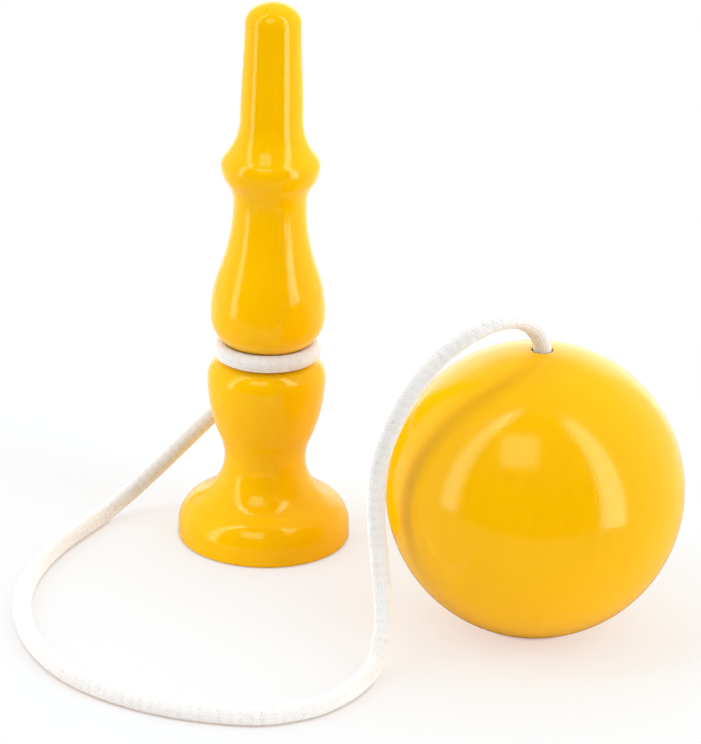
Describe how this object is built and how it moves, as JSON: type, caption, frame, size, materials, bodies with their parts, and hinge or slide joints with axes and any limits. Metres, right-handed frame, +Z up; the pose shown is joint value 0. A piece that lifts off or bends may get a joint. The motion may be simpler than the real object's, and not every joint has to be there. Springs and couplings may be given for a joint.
{
  "type": "cup and ball toy",
  "caption": "Turned lacquered wooden stick with a catching peg, cord groove and dished foot, tied by a braided cord to a drilled wooden ball that is tossed and caught.",
  "frame": {"origin": "on the floor, at the centre of the stick's foot", "axes": "+Z up along the stick's axis; the picture looks along +Y, with the ball to the right (+X) and in front (-Y)"},
  "size_m": [0.157, 0.1324, 0.137],
  "materials": {
    "stick": "high-gloss yellow lacquer",
    "ball": "high-gloss yellow lacquer",
    "cord": "plain white cotton braid"
  },
  "bodies": {
    "stick": {"stick": "stick"},
    "loop": {"cord_loop": "cord", "stick_knot": "cord", "cord_run": "cord"},
    "cord_end": {"cord_in_ball": "cord", "stop_knot": "cord"},
    "ball": {"ball": "ball"}
  },
  "joints": [
    {"name": "loop_turn", "type": "hinge", "parent": "stick", "child": "loop", "pos_m": [0, 0, 0.0498], "axis": [0, 0, 1], "continuous": true},
    {"name": "ball_lift", "type": "slide", "parent": "loop", "child": "cord_end", "axis": [0, 0, 1], "range_m": [0, 0.04], "deforming": ["cord_run"]},
    {"name": "ball_spin", "type": "hinge", "parent": "cord_end", "child": "ball", "pos_m": [0.0646, -0.0442, 0.0684], "axis": [0, 0, 1], "continuous": true}
  ]
}
